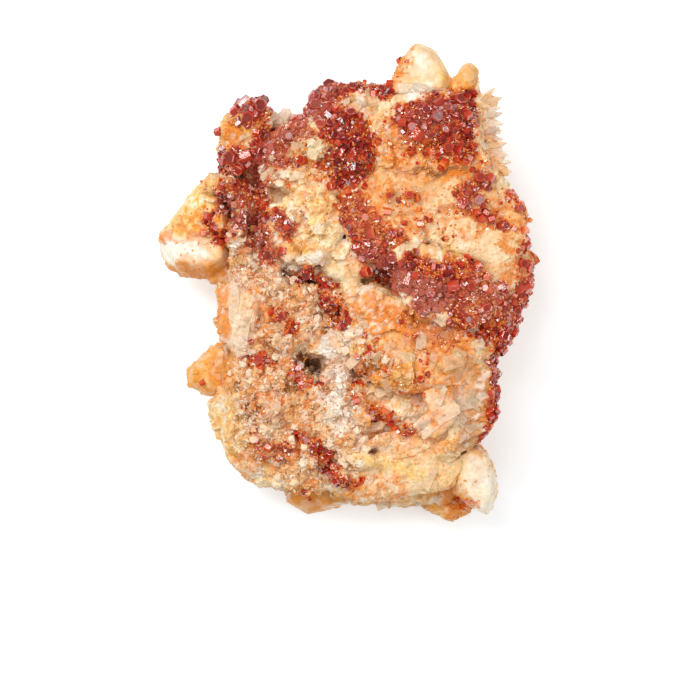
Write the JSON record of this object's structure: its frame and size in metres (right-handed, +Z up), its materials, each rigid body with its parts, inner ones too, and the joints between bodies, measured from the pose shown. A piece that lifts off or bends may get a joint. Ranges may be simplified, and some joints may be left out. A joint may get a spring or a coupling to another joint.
{
  "type": "vanadinite on matrix mineral specimen",
  "caption": "hand-sized rock of cream and ochre barite with crumbly hollows, its upper side crusted with short hexagonal dark red vanadinite crystals",
  "frame": {"origin": "middle of the bounding box in plan, on the flat broken face that the specimen rests on", "axes": "+Z is up, away from the resting face; +Y runs along the long side towards the tall pale blade; +X is to the right when the specimen is seen from above with +Y away from the viewer"},
  "size_m": [0.0768, 0.0968, 0.0388],
  "materials": {
    "matrix": "granular, crumbly barite rock, cream to ochre with rust stains",
    "barite": "smooth cream to amber bladed crystal, slightly waxy",
    "vanadinite": "glassy deep red to brown-red crystal faces with bright glints"
  },
  "bodies": {
    "root": {"matrix": "matrix", "barite_top_blade": "barite", "barite_finger": "barite", "barite_comb": "barite", "barite_nose": "barite", "barite_spur": "barite", "barite_near_blade": "barite", "barite_corner_blade": "barite", "barite_plates": "barite", "vanadinite_knob_cap": "vanadinite", "vanadinite_knob_foot": "vanadinite", "vanadinite_crown_west": "vanadinite", "vanadinite_crown_east": "vanadinite", "vanadinite_ridge": "vanadinite", "vanadinite_far_cluster": "vanadinite", "vanadinite_band": "vanadinite", "vanadinite_plateau": "vanadinite", "vanadinite_rim": "vanadinite", "vanadinite_flank": "vanadinite"}
  },
  "joints": []
}
